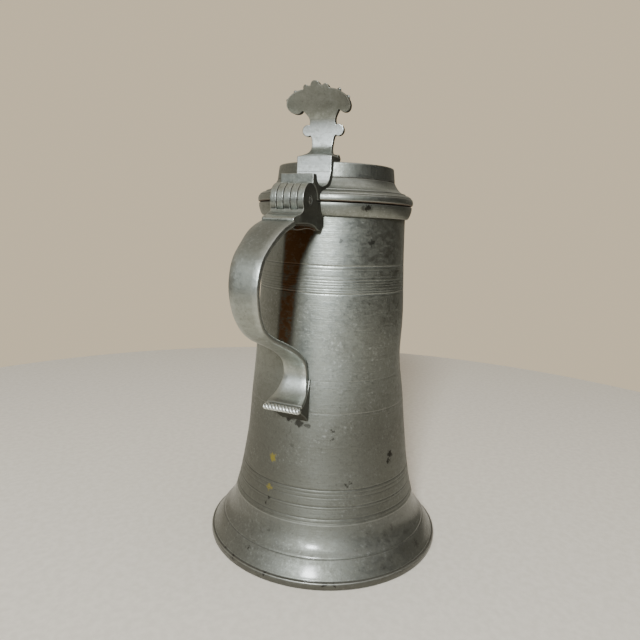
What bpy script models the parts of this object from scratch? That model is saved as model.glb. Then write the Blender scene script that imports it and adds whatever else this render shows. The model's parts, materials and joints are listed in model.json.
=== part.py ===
"""Pewter flagon with a hinged lid: a turned body on a wide foot, a strap handle and a thumbpiece.

Frame: +Z up, handle towards +X, origin on the table under the middle of the whole object.
Lengths are in millimetres and are scaled to metres where a mesh or an object is made.
A side outline is a list of (u, z): u is the distance from the body's axis towards the handle.
A turned profile is a list of (radius, z), from the top down the outer side and back up the inner.
"""

import math

import bmesh
import bpy
from mathutils import Matrix, Vector

MM = 0.001
WELD = 0.00001
TURN_STEPS = 64

# ---------------------------------------------------------------- driving dimensions, mm
GAP = 0.3                 # room between pieces that touch
WALL = 2.2                # thickness of the cast walls
FOOT_R = 74.8             # widest radius, at the foot's lower band
HANDLE_REACH = 109.3      # from the body's axis to the strap's outermost point
AXIS_X = (FOOT_R - HANDLE_REACH) / 2.0
FOOT_TOP_Z = 29.85
SEAM_Z = 94.0             # soldered seam between the two drums
BAND_BOTTOM_Z = 205.4
RIM_Z = 212.9
LID_Z = 213.5             # underside of the closed lid
LID_TOP_Z = 235.5
FLOOR_THICKNESS = 2.7     # of the disc that closes the body

HINGE_U = 58.5
HINGE_Z = 213.0
KNUCKLE_R = 9.0
KNUCKLE_COUNT = 5
HINGE_HALF_WIDTH = 9.8
PIN_R = 2.0
LEAF_SPLIT_Z = 229.5      # the lid's leaf ends here, and the thumbpiece's plate starts
PLATE_U = 37.4            # outer face of the thumbpiece's plate
PLATE_HALF_WIDTH = 10.7
THUMB_THICKNESS = 3.0

STRAP_THICKNESS = 3.0
STRAP_TOP_U = 76.4
BAR_R = 1.9
BAR_HALF_LENGTH = 11.1
BAR_U = 66.5
BAR_Z = 100.4

# ---------------------------------------------------------------- shapes, mm
# Outer radius of the body at each height, from the rim to the top of the foot.
BODY_RADII = [
    (RIM_Z, 43.7), (205.0, 43.7), (180.0, 44.5), (150.0, 46.0), (120.0, 47.4), (95.0, 49.5),
    (80.0, 50.8), (70.0, 51.8), (60.0, 53.0), (50.0, 54.4), (42.0, 55.8), (36.0, 57.0), (30.0, 58.6),
]
FOOT_OUTER = [
    (58.6, FOOT_TOP_Z), (59.4, 27.0), (61.2, 21.5), (63.5, 17.5), (66.3, 14.4), (67.5, 13.0),
    (70.2, 9.2), (72.9, 5.6), (74.0, 4.7), (FOOT_R, 3.8), (74.4, 0.0),
]
FOOT_INNER = [
    (72.0, 0.0), (71.8, 3.0), (68.0, 8.0), (64.2, 12.6), (61.3, 15.8), (58.9, 20.4), (57.2, 26.0),
    (56.4, FOOT_TOP_Z),
]
BAND_OUTER = [(47.4, RIM_Z), (47.3, 211.6), (46.5, 207.4), (46.0, BAND_BOTTOM_Z)]
LID_OUTER = [
    (0.0, 236.4), (30.4, 235.7), (31.4, 235.1), (32.8, 235.1), (33.6, LID_TOP_Z), (35.0, LID_TOP_Z),
    (35.3, 234.6), (35.9, 231.0), (36.3, 228.0), (37.2, 225.0), (39.3, 222.0), (41.2, 220.6),
    (45.4, 219.3), (47.0, 218.0), (47.9, 216.4), (48.0, 215.0), (47.7, LID_Z),
]
LID_INNER = [
    (41.5, LID_Z), (40.4, 216.6), (37.6, 219.8), (35.4, 223.4), (34.2, 228.0), (33.4, 233.2), (0.0, 234.0),
]
# Outer face of the handle strap, from the hinge bracket down to the twisted bar.
STRAP_OUTER = [
    (STRAP_TOP_U + GAP, 203.1), (84.2, 200.0), (91.5, 196.0), (99.0, 190.4), (104.6, 185.0),
    (107.9, 178.6), (109.3, 170.0), (108.0, 161.6), (104.8, 154.4), (99.3, 147.8), (91.5, 142.8),
    (81.5, 138.6), (70.5, 134.0), (60.8, 129.0), (54.3, 124.0), (51.5, 118.0), (52.3, 111.8),
    (56.6, 106.2), (64.3, 102.5),
]
# Half-width of the strap at each height.
STRAP_WIDTHS = [
    (206.0, 9.4), (198.0, 9.3), (190.0, 8.5), (178.0, 8.1), (160.0, 7.4), (147.0, 6.5), (138.0, 6.7),
    (118.0, 7.2), (111.0, 8.0), (106.0, 9.2), (102.5, 10.6), (98.0, 11.1),
]
# Back face of the thumbpiece, from its plate up to the top of its crest.
THUMB_BACK = [
    (PLATE_U, 237.8), (33.6, 238.9), (29.6, 241.2), (27.2, 245.0), (26.8, 250.0), (27.2, 255.0),
    (28.2, 259.5), (30.6, 263.5), (34.0, 268.0), (37.8, 273.0), (39.6, 275.5), (41.8, 278.4),
]
VOLUTE_U = 25.6
VOLUTE_Z = 237.9
VOLUTE_R = 2.1


# ---------------------------------------------------------------- small geometry helpers
def interpolate(table, z):
    """Value at height z in a table of (z, value) that runs downwards."""
    for (z_high, high), (z_low, low) in zip(table, table[1:]):
        if z >= z_low:
            return low + (high - low) * (z - z_low) / (z_high - z_low)
    return table[-1][1]


def smooth(points, per_span):
    """Points on a Catmull-Rom curve through the given ones, per_span to each stretch."""
    pts = [Vector(p) for p in points]
    padded = [2 * pts[0] - pts[1]] + pts + [2 * pts[-1] - pts[-2]]
    line = []
    for a, b, c, d in zip(padded, padded[1:], padded[2:], padded[3:]):
        for step in range(per_span):
            t = step / per_span
            line.append(0.5 * (2 * b + (c - a) * t + (2 * a - 5 * b + 4 * c - d) * t ** 2
                               + (3 * b - a - 3 * c + d) * t ** 3))
    return line + [pts[-1]]


def arc(centre, radius, start_deg, end_deg, count):
    """Points on an arc from one angle to another, both ends included."""
    angles = [math.radians(start_deg + (end_deg - start_deg) * i / (count - 1)) for i in range(count)]
    return [(centre[0] + radius * math.cos(a), centre[1] + radius * math.sin(a)) for a in angles]


def offset(line, distance):
    """The line moved to its right-hand side by a distance."""
    moved = []
    for i, point in enumerate(line):
        along = (line[min(i + 1, len(line) - 1)] - line[max(i - 1, 0)]).normalized()
        moved.append(point + distance * Vector((along.y, -along.x)))
    return moved


def outward(profile, distance):
    """A turned profile grown outwards and upwards by a distance."""
    return [(r + distance, z + distance) for r, z in profile]


# ---------------------------------------------------------------- Blender helpers
def clear_scene():
    for obj in list(bpy.data.objects):
        bpy.data.objects.remove(obj, do_unlink=True)


def collection(name):
    group = bpy.data.collections.new(name)
    bpy.context.scene.collection.children.link(group)
    return group


def principled(name, colour, roughness, metallic):
    material = bpy.data.materials.new(name)
    material.use_nodes = True
    shader = material.node_tree.nodes["Principled BSDF"]
    shader.inputs["Base Color"].default_value = (*colour, 1.0)
    shader.inputs["Roughness"].default_value = roughness
    shader.inputs["Metallic"].default_value = metallic
    return material


def empty(name, location_mm, parent=None):
    obj = bpy.data.objects.new(name, None)
    obj.location = Vector(location_mm) * MM
    obj.parent = parent
    obj.empty_display_size = 0.02
    PARTS.objects.link(obj)
    return obj


def place(obj, material, parent, cutter=False):
    """Put a new object in its collection, under the empty that it belongs to.

    Meshes are drawn round the body's axis, so a piece of the lid is shifted back by the hinge."""
    (CUTTERS if cutter else PARTS).objects.link(obj)
    obj.parent = parent
    if parent == LID_AXIS:
        obj.location = -parent.location
    if cutter:
        obj.display_type = 'WIRE'
        obj.hide_render = True
    else:
        obj.data.materials.append(material)
    return obj


def turned(name, profile, material, parent, cutter=False):
    """Spin a (radius, z) profile round the body's axis; it is closed unless it ends on the axis."""
    last = len(profile) - 1
    edges = [(i, i + 1) for i in range(last)]
    if profile[0][0] > 0.0:
        edges.append((last, 0))
    mesh = bpy.data.meshes.new(name)
    mesh.from_pydata([(r * MM, 0.0, z * MM) for r, z in profile], edges, [])
    obj = place(bpy.data.objects.new(name, mesh), material, parent, cutter)
    screw = obj.modifiers.new("Turn", 'SCREW')
    screw.steps = TURN_STEPS
    screw.render_steps = TURN_STEPS
    screw.use_merge_vertices = True
    screw.merge_threshold = WELD
    screw.use_smooth_shade = True
    return obj


def curve_mesh(name, outline, half_depth, closed):
    """Mesh of a flat curve drawn in XY and extruded both ways along Z, with its caps welded on."""
    curve = bpy.data.curves.new(name, 'CURVE')
    curve.dimensions = '2D'
    curve.fill_mode = 'BOTH' if closed else 'NONE'
    curve.extrude = half_depth * MM
    spline = curve.splines.new('POLY')
    spline.points.add(len(outline) - 1)
    for point, (x, y) in zip(spline.points, outline):
        point.co = (x * MM, y * MM, 0.0, 1.0)
    spline.use_cyclic_u = closed
    holder = bpy.data.objects.new(name, curve)
    bpy.context.scene.collection.objects.link(holder)
    bpy.context.view_layer.update()
    evaluated = holder.evaluated_get(bpy.context.evaluated_depsgraph_get())
    mesh = bpy.data.meshes.new_from_object(evaluated)
    bpy.data.objects.remove(holder)
    bm = bmesh.new()
    bm.from_mesh(mesh)
    bmesh.ops.remove_doubles(bm, verts=bm.verts, dist=WELD)
    bmesh.ops.recalc_face_normals(bm, faces=bm.faces)
    bm.to_mesh(mesh)
    bm.free()
    return mesh


SIDE_VIEW = Matrix.Rotation(math.pi / 2, 4, 'X')
FRONT_VIEW = Matrix.Rotation(math.pi / 2, 4, 'Z') @ SIDE_VIEW


def from_side(name, outline, half_width, material, parent, cutter=False):
    """A (u, z) outline extruded across the object, along Y."""
    mesh = curve_mesh(name, outline, half_width, True)
    mesh.transform(SIDE_VIEW)
    return place(bpy.data.objects.new(name, mesh), material, parent, cutter)


def from_front(name, outline, u_low, u_high, parent):
    """A cutter: a (v, z) outline extruded along u between two distances."""
    mesh = curve_mesh(name, outline, (u_high - u_low) / 2.0, True)
    mesh.transform(Matrix.Translation(((u_low + u_high) / 2.0 * MM, 0.0, 0.0)) @ FRONT_VIEW)
    return place(bpy.data.objects.new(name, mesh), None, parent, cutter=True)


def from_above(name, outline, z_low, z_high, parent):
    """A cutter: a (u, v) outline extruded upwards between two heights."""
    mesh = curve_mesh(name, outline, (z_high - z_low) / 2.0, True)
    mesh.transform(Matrix.Translation((0.0, 0.0, (z_low + z_high) / 2.0 * MM)))
    return place(bpy.data.objects.new(name, mesh), None, parent, cutter=True)


def rod(name, centre_uz, radius, v_low, v_high, sides, material, parent, cutter=False):
    """A round bar along Y between two places across the object."""
    bm = bmesh.new()
    bmesh.ops.create_cone(bm, cap_ends=True, segments=sides, radius1=radius * MM, radius2=radius * MM,
                          depth=(v_high - v_low) * MM)
    middle = Vector((centre_uz[0], (v_low + v_high) / 2.0, centre_uz[1])) * MM
    bmesh.ops.transform(bm, matrix=Matrix.Translation(middle) @ SIDE_VIEW, verts=bm.verts)
    mesh = bpy.data.meshes.new(name)
    bm.to_mesh(mesh)
    bm.free()
    return place(bpy.data.objects.new(name, mesh), material, parent, cutter)


def boolean(obj, cutter, operation='DIFFERENCE'):
    modifier = obj.modifiers.new(cutter.name, 'BOOLEAN')
    modifier.operation = operation
    modifier.object = cutter
    modifier.solver = 'EXACT'


def soften(obj):
    """Shade a faceted round piece smooth, but keep its corners."""
    obj.data.shade_smooth()
    obj.data.set_sharp_from_angle(angle=math.radians(35))


# ---------------------------------------------------------------- body
def body_wall(top_z, bottom_z):
    """Closed profile of a stretch of the body's wall."""
    heights = [top_z] + [z for z, _ in BODY_RADII if bottom_z < z < top_z] + [bottom_z]
    outer = [(interpolate(BODY_RADII, z), z) for z in heights]
    return outer + [(r - WALL, z) for r, z in reversed(outer)]


def make_body():
    turned("upper_drum", body_wall(RIM_Z, SEAM_Z + GAP / 2), PEWTER, BODY_AXIS)
    turned("lower_drum", body_wall(SEAM_Z - GAP / 2, FOOT_TOP_Z + GAP), PEWTER, BODY_AXIS)
    turned("foot_skirt", FOOT_OUTER + FOOT_INNER, PEWTER, BODY_AXIS)
    turned("lip_band", BAND_OUTER + [(43.7 + GAP, BAND_BOTTOM_Z), (43.7 + GAP, RIM_Z)], PEWTER, BODY_AXIS)
    floor_r = FOOT_INNER[-1][0] - 2 * GAP
    floor_bottom = FOOT_TOP_Z - FLOOR_THICKNESS
    disc = [(0.0, FOOT_TOP_Z), (floor_r, FOOT_TOP_Z), (floor_r, floor_bottom), (0.0, floor_bottom)]
    turned("base_plate", disc, DULL_PEWTER, BODY_AXIS)


# ---------------------------------------------------------------- hinge
def knuckle_spans():
    """(low, high) across the object for each knuckle, with a gap between neighbours."""
    width = (2 * HINGE_HALF_WIDTH - (KNUCKLE_COUNT - 1) * GAP) / KNUCKLE_COUNT
    starts = [-HINGE_HALF_WIDTH + i * (width + GAP) for i in range(KNUCKLE_COUNT)]
    return [(start, start + width) for start in starts]


def cut_knuckles(obj, others, parent):
    """Make room in one leaf for the other leaf's knuckles, and bore the leaf for the pin."""
    for number in others:
        low, high = knuckle_spans()[number]
        low = low - (GAP if number > 0 else 1.0)
        high = high + (GAP if number < KNUCKLE_COUNT - 1 else 1.0)
        room = rod(f"cut_{obj.name}_{number + 1}", (HINGE_U, HINGE_Z), KNUCKLE_R + GAP, low, high, 40,
                   None, parent, cutter=True)
        boolean(obj, room)
    bore = rod(f"cut_{obj.name}_bore", (HINGE_U, HINGE_Z), PIN_R + GAP, -15.0, 15.0, 24,
               None, parent, cutter=True)
    boolean(obj, bore)


def make_hinge():
    centre = (HINGE_U, HINGE_Z)
    bracket_side = (
        [(42.0, 194.0), (47.0, 196.8), (51.5, 199.2), (56.0, 200.4), (61.0, 200.8), (68.0, 200.9),
         (STRAP_TOP_U - 1.2, 200.4), (STRAP_TOP_U, 203.3), (74.8, 204.4), (72.0, 205.0),
         (71.2, 206.0), (68.4, 206.6)]
        + arc(centre, KNUCKLE_R, -42.0, 178.0, 24)
        + [(49.6, RIM_Z), (42.0, RIM_Z)]
    )
    bracket = from_side("hinge_bracket", bracket_side, HINGE_HALF_WIDTH, PEWTER, BODY_AXIS)
    band_room = [(47.7, 216.0)] + [(r + GAP, z) for r, z in BAND_OUTER[1:]]
    neck_z = BAND_BOTTOM_Z - GAP
    body_room = [(0.0, 216.0)] + band_room + [(46.3, neck_z), (44.0, neck_z), (44.9, 180.0), (0.0, 180.0)]
    boolean(bracket, turned("cut_bracket_body", body_room, None, BODY_AXIS, cutter=True))
    cut_knuckles(bracket, (1, 3), BODY_AXIS)
    oval = [(51.2 + 4.2 * u, 7.0 * v) for u, v in arc((0.0, 0.0), 1.0, 0.0, 345.0, 24)]
    boolean(bracket, from_above("cut_bracket_hollow", oval, 185.0, 203.0, BODY_AXIS))
    soften(bracket)

    leaf_side = (
        [(38.0, LID_Z), (49.5, LID_Z)]
        + arc(centre, KNUCKLE_R, 180.0, 465.0, 30)
        + [(56.0, 222.4), (56.0, 227.0), (51.8, 227.0), (50.6, 223.8), (48.2, 221.7), (45.0, 221.2),
           (41.8, 222.1), (39.2, 224.4), (37.8, 227.4), (PLATE_U, LEAF_SPLIT_Z), (30.0, LEAF_SPLIT_Z),
           (30.0, LID_Z)]
    )
    leaf = from_side("lid_leaf", leaf_side, HINGE_HALF_WIDTH, PEWTER, LID_AXIS)
    boolean(leaf, turned("cut_leaf_lid", lid_envelope(), None, LID_AXIS, cutter=True))
    cut_knuckles(leaf, (0, 2, 4), LID_AXIS)
    soften(leaf)

    soften(rod("hinge_pin", centre, PIN_R, -HINGE_HALF_WIDTH, HINGE_HALF_WIDTH, 24, IRON, BODY_AXIS))


# ---------------------------------------------------------------- handle
def make_handle():
    outer = smooth(STRAP_OUTER, 3)
    strap_side = outer + list(reversed(offset(outer, STRAP_THICKNESS)))
    strap = from_side("handle_strap", strap_side, 14.0, PEWTER, BODY_AXIS)
    right = [(half, z) for z, half in STRAP_WIDTHS]
    left = [(-half, z) for half, z in reversed(right)]
    boolean(strap, from_front("cut_strap_width", right + left, 30.0, 130.0, BODY_AXIS), 'INTERSECT')
    soften(strap)

    foot_top_z = 112.6
    back = offset(outer, STRAP_THICKNESS + GAP)
    resting = [p for p in back if p.y < foot_top_z and p.x > 48.6]
    foot_side = [(44.0, foot_top_z)] + resting + [(63.2, 98.2), (49.5, 91.0), (44.0, 88.6)]
    foot = from_side("handle_foot", foot_side, 14.0, PEWTER, BODY_AXIS)
    taper = [(42.0, -7.6), (66.0, -10.8), (66.0, 10.8), (42.0, 7.6)]
    boolean(foot, from_above("cut_foot_taper", taper, 80.0, 120.0, BODY_AXIS), 'INTERSECT')
    body_outer = [(interpolate(BODY_RADII, z) + GAP, z) for z in (130.0, 120.0, 95.0, 80.0)]
    body_room = [(0.0, 130.0)] + body_outer + [(0.0, 80.0)]
    boolean(foot, turned("cut_foot_body", body_room, None, BODY_AXIS, cutter=True))

    bar_centre = (BAR_U, BAR_Z)
    bar = rod("terminal_bar", bar_centre, BAR_R, -BAR_HALF_LENGTH, BAR_HALF_LENGTH, 16, PEWTER, BODY_AXIS)
    soften(bar)


# ---------------------------------------------------------------- lid
def lid_envelope():
    """The lid's outer shape grown by the gap, for the pieces that sit against it."""
    return outward(LID_OUTER, GAP) + [(48.0, LID_Z - 5.0), (0.0, LID_Z - 5.0)]


def thumb_front():
    """Outline of the thumbpiece as the drinker sees it: base, stem, two knobs and a lobed crest."""
    right = (
        [(PLATE_HALF_WIDTH, 228.0), (PLATE_HALF_WIDTH, 238.4), (8.6, 240.2), (7.0, 242.8)]
        + [(6.4, 246.5), (6.9, 250.2)]
        + arc((9.6, 254.0), 3.4, -120.0, 120.0, 10)
        + [(8.0, 259.4), (8.8, 262.0), (11.6, 264.4)]
        + arc((15.2, 266.2), 4.6, -130.0, 10.0, 7)
        + [(19.4, 270.2), (16.6, 272.9), (13.6, 273.9)]
        + arc((8.6, 274.4), 2.6, 20.0, 120.0, 5)
        + arc((0.0, 275.4), 3.4, 25.0, 90.0, 6)
    )
    return right + [(-v, z) for v, z in reversed(right[:-1])]


def make_lid():
    turned("lid_shell", LID_OUTER + LID_INNER, PEWTER, LID_AXIS)

    back = smooth(THUMB_BACK, 3)
    front = [p for p in offset(back, -THUMB_THICKNESS) if p.y > VOLUTE_Z + VOLUTE_R]
    side = (
        [(PLATE_U, LEAF_SPLIT_Z + GAP)] + back + list(reversed(front))
        + arc((VOLUTE_U, VOLUTE_Z), VOLUTE_R, 80.0, 270.0, 12)
        + [(30.0, 235.8), (30.0, LEAF_SPLIT_Z + GAP)]
    )
    thumb = from_side("thumbpiece", side, 24.0, PEWTER, LID_AXIS)
    boolean(thumb, from_front("cut_thumb_outline", thumb_front(), 10.0, 60.0, LID_AXIS), 'INTERSECT')
    boolean(thumb, turned("cut_thumb_lid", lid_envelope(), None, LID_AXIS, cutter=True))
    soften(thumb)


clear_scene()
PARTS = collection("pewter_flagon")
CUTTERS = collection("cutters")
PEWTER = principled("pewter", (0.36, 0.37, 0.34), 0.38, 1.0)
DULL_PEWTER = principled("pewter_inside", (0.27, 0.27, 0.25), 0.55, 1.0)
IRON = principled("pin_iron", (0.16, 0.15, 0.14), 0.5, 1.0)
BODY_AXIS = empty("body_axis", (AXIS_X, 0.0, 0.0))
LID_AXIS = empty("lid_hinge_axis", (HINGE_U, 0.0, HINGE_Z), BODY_AXIS)
make_body()
make_hinge()
make_handle()
make_lid()
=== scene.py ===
"""Looks of the pewter flagon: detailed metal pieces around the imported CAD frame.

The frame gives the body's axis, the hinge and the sizes of the nodes. Shapes are written in millimetres
in the body's own terms: u is the distance from its axis towards the handle, v runs along the hinge pin
and z is the height. A turned profile is a list of (radius, z), down the outer side and back up inside.
"""

import json
import math

import bmesh
import bpy
import numpy as np
from mathutils import Matrix, Vector, noise


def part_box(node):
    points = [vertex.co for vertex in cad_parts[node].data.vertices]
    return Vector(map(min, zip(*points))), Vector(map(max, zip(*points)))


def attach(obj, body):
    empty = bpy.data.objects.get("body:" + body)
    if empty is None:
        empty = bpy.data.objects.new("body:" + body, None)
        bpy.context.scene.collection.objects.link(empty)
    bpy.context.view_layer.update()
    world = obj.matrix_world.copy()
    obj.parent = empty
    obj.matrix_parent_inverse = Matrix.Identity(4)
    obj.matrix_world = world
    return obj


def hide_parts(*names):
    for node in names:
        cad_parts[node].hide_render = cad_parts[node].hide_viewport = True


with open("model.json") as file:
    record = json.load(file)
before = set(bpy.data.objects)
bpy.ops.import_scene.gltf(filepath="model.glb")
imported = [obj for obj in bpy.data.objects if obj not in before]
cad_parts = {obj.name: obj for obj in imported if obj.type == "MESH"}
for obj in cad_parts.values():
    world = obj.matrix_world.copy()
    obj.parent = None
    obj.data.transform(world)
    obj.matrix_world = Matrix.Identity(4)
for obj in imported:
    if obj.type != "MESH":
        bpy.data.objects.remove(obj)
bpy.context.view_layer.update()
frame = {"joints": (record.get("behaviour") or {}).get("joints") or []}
MM = 0.001


def node_box(name):
    """Lowest and highest corner of a CAD node, in millimetres."""
    low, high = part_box(name)
    return Vector(low) / MM, Vector(high) / MM


# ------------------------ sizes read from the frame, mm
BAND_LOW, BAND_HIGH = node_box("lip_band")
FOOT_LOW, FOOT_HIGH = node_box("foot_skirt")
FLOOR_LOW, FLOOR_HIGH = node_box("base_plate")
PIN_LOW, PIN_HIGH = node_box("hinge_pin")
BAR_LOW, BAR_HIGH = node_box("terminal_bar")
AXIS_X = (BAND_LOW.x + BAND_HIGH.x) / 2
HINGE = Vector(frame["joints"][0]["pos_m"]) / MM - Vector((AXIS_X, 0.0, 0.0))
FOOT_R = (FOOT_HIGH.x - FOOT_LOW.x) / 2
RIM_Z = BAND_HIGH.z
LID_Z = node_box("lid_shell")[0].z
SEAM_Z = node_box("upper_drum")[0].z
THUMB_TOP = node_box("thumbpiece")[1].z
HINGE_HALF = (PIN_HIGH.y - PIN_LOW.y) / 2
REACH = node_box("handle_strap")[1].x - AXIS_X

# ------------------------ shapes, mm
WALL = 2.2             # thickness of the body's wall
ROUND_STEPS = 240      # faces round a turned piece
# (height, outer radius) of the body, down from the rim
BODY_RADII = [
    (RIM_Z, 43.7), (205.0, 43.7), (180.0, 44.5), (150.0, 46.0), (120.0, 47.4), (95.0, 49.5),
    (80.0, 50.8), (70.0, 51.8), (60.0, 53.0), (50.0, 54.4), (42.0, 55.8), (36.0, 57.0), (30.0, 58.6),
]
# (height, depth, half-width) of the rings cut into the body
BODY_RINGS = [
    (178.2, 0.16, 0.46), (176.1, 0.05, 0.38), (172.2, 0.05, 0.38), (170.2, 0.07, 0.38),
    (168.6, 0.05, 0.36), (167.2, 0.05, 0.36), (165.4, 0.07, 0.38), (164.0, 0.05, 0.36),
    (162.6, 0.15, 0.46), (112.6, 0.025, 0.40), (94.0, 0.045, 0.40), (49.6, 0.12, 0.50),
    (47.6, 0.06, 0.42), (45.2, 0.06, 0.42), (40.2, 0.10, 0.48), (38.6, 0.05, 0.40),
    (33.4, 0.10, 0.48), (31.4, 0.05, 0.40),
]
KNUCKLE_R = 9.0        # of the hinge's barrel
KNUCKLE_COUNT = 5
KNUCKLE_GAP = 0.3      # between neighbouring knuckles, and round them
BORE_R = 2.15          # of the pin's hole through the knuckles
LID_SKEW = 1.3         # how far the lid's plate and thumbpiece stand off centre along v
PLATE_SPLIT = 229.6    # the hinge leaf ends at this height, and the thumbpiece starts just above it
# side outline of the upright plate that the hinge leaf and the thumbpiece share
PLATE_FACE = [(37.7, 229.0), (37.45, 231.5), (37.35, 233.5), (37.4, 238.0)]


# ------------------------ outline helpers
def smooth_line(points, per_span):
    """Points on a Catmull-Rom curve through the given ones."""
    pts = [Vector(p) for p in points]
    padded = [2 * pts[0] - pts[1]] + pts + [2 * pts[-1] - pts[-2]]
    line = []
    for a, b, c, d in zip(padded, padded[1:], padded[2:], padded[3:]):
        for step in range(per_span):
            t = step / per_span
            line.append(0.5 * (2 * b + (c - a) * t + (2 * a - 5 * b + 4 * c - d) * t ** 2
                               + (3 * b - a - 3 * c + d) * t ** 3))
    return line + [pts[-1]]


def arc(centre, radius, start_deg, end_deg, count):
    """Points on an arc, both ends included."""
    angles = [math.radians(start_deg + (end_deg - start_deg) * i / (count - 1)) for i in range(count)]
    return [(centre[0] + radius * math.cos(a), centre[1] + radius * math.sin(a)) for a in angles]


def rounded(points, steps=4):
    """A closed outline whose corners (x, y, radius) are rounded; a corner without a radius stays."""
    count = len(points)
    line = []
    for i, corner in enumerate(points):
        here = Vector(corner[:2])
        radius = corner[2] if len(corner) > 2 else 0.0
        if radius == 0.0:
            line.append(here)
            continue
        before = Vector(points[i - 1][:2]) - here
        after = Vector(points[(i + 1) % count][:2]) - here
        reach = min(radius, 0.45 * before.length, 0.45 * after.length)
        start = here + before.normalized() * reach
        end = here + after.normalized() * reach
        line.append(here + before.normalized() * min(reach * 1.5, 0.5 * before.length))
        for step in range(steps + 1):
            t = step / steps
            line.append(start * (1 - t) ** 2 + here * 2 * t * (1 - t) + end * t ** 2)
        line.append(here + after.normalized() * min(reach * 1.5, 0.5 * after.length))
    return line


def offset(line, distance):
    """The line moved to its right-hand side."""
    moved = []
    for i, point in enumerate(line):
        along = (line[min(i + 1, len(line) - 1)] - line[max(i - 1, 0)]).normalized()
        moved.append(point + distance * Vector((along.y, -along.x)))
    return moved


def lookup(table, key):
    """Interpolated value in a table of (key, value) sorted by key, up or down."""
    keys = [k for k, _ in table]
    values = [v for _, v in table]
    if keys[0] > keys[-1]:
        keys, values = keys[::-1], values[::-1]
    return float(np.interp(key, keys, values))


BODY_CURVE = [(p.x, p.y) for p in smooth_line(BODY_RADII, 12)]


def body_radius(z):
    """Outer radius of the wall at a height, with the cut rings."""
    radius = lookup(BODY_CURVE, z)
    for height, depth, half_width in BODY_RINGS:
        radius -= depth * math.exp(-((z - height) / half_width) ** 2)
    return radius


def ring_heights(top, bottom):
    """Heights from top to bottom, close together round each cut ring."""
    marks = set(np.linspace(top, bottom, max(2, int((top - bottom) / 1.6))))
    for height, _, half_width in BODY_RINGS:
        marks.update(height + half_width * k / 3.0 for k in range(-7, 8))
    return sorted((z for z in marks if bottom <= z <= top), reverse=True)


# ------------------------ wear of the thin walls
# (azimuth, height, depth, half-width along the wall, half-height), degrees and mm
DENTS = [
    (104.0, 118.0, 1.9, 15.0, 20.0), (118.0, 86.0, 0.5, 12.0, 10.0), (35.0, 132.0, 0.25, 9.0, 12.0),
    (200.0, 140.0, 0.7, 16.0, 14.0), (300.0, 70.0, 0.5, 12.0, 16.0), (255.0, 178.0, 0.4, 10.0, 9.0),
    (-30.0, 104.0, 0.35, 12.0, 16.0),
]


def sag(u, v, z):
    """How far the wall is pushed in at a place, in mm: hand-raised unevenness and a few dents."""
    place = Vector((u, v, z))
    depth = 0.16 * (0.5 + 0.5 * noise.noise(place / 34.0))
    depth += 0.07 * (0.5 + 0.5 * noise.noise(place / 11.0))
    azimuth = math.degrees(math.atan2(v, u))
    radius = math.hypot(u, v)
    for centre, height, deep, wide, tall in DENTS:
        turn = (azimuth - centre + 180.0) % 360.0 - 180.0
        across = math.radians(turn) * radius / wide
        along = (z - height) / tall
        depth += deep * math.exp(-(across ** 2 + along ** 2))
    return depth


# dark spots and corroded patches: (azimuth, height, half-size, strength), degrees and mm
SPOTS = [
    (45.0, 210.6, 2.4, 0.9), (41.0, 210.2, 1.5, 0.6), (36.3, 52.3, 1.6, 0.8), (38.0, 54.0, 0.9, 0.7),
    (70.5, 65.4, 2.4, 0.9), (68.6, 61.5, 1.7, 0.9), (-13.2, 39.8, 1.3, 0.9), (-14.8, 36.0, 1.4, 0.9),
    (13.7, 200.6, 1.2, 0.6), (27.2, 191.7, 1.6, 0.5), (51.1, 191.7, 1.9, 0.7), (3.0, 87.5, 2.8, 0.8),
    (-4.0, 89.0, 2.3, 0.8), (9.5, 86.5, 2.2, 0.6), (27.0, 84.0, 1.4, 0.7), (26.6, 79.5, 1.2, 0.6),
    (-1.0, 74.0, 1.6, 0.3),
]
FOOT_SPOTS = [
    (-16.3, 11.2, 1.3, 0.9), (-23.4, 3.8, 1.9, 0.9), (-31.0, 4.4, 1.3, 0.8), (-3.7, 4.2, 1.7, 1.0),
    (-3.8, 7.4, 0.9, 0.8), (24.0, 4.0, 1.7, 1.0), (27.6, 3.8, 1.3, 1.0), (65.8, 23.0, 2.2, 0.35),
    (52.3, 8.0, 2.4, 0.3), (78.4, 10.1, 2.4, 0.4), (-9.0, 22.0, 1.6, 0.35), (60.0, 20.5, 1.6, 0.25),
]
# yellow-olive stains
STAINS = [(-14.1, 63.6, 2.7, 0.75), (-14.3, 45.4, 2.1, 0.55)]


# ------------------------ mesh helpers
def new_object(name, mesh):
    obj = bpy.data.objects.new(name, mesh)
    bpy.context.scene.collection.objects.link(obj)
    return obj


def to_place(points):
    """Points in millimetres round the body's axis, as metres in the row frame."""
    placed = np.asarray(points, dtype=float)
    return (placed + np.array((AXIS_X, 0.0, 0.0))) * MM


def mesh_from(name, points, faces):
    mesh = bpy.data.meshes.new(name)
    mesh.from_pydata(to_place(points).tolist(), [], faces)
    bm = bmesh.new()
    bm.from_mesh(mesh)
    bmesh.ops.remove_doubles(bm, verts=bm.verts, dist=0.000002)
    bmesh.ops.recalc_face_normals(bm, faces=bm.faces)
    bm.to_mesh(mesh)
    bm.free()
    return mesh


def loop_faces(rows, columns, wrap_rows):
    """Quads between neighbouring rows of a grid whose columns run round."""
    faces = []
    for i in range(rows if wrap_rows else rows - 1):
        low, high = i * columns, ((i + 1) % rows) * columns
        for j in range(columns):
            k = (j + 1) % columns
            faces.append((low + j, high + j, high + k, low + k))
    return faces


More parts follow.
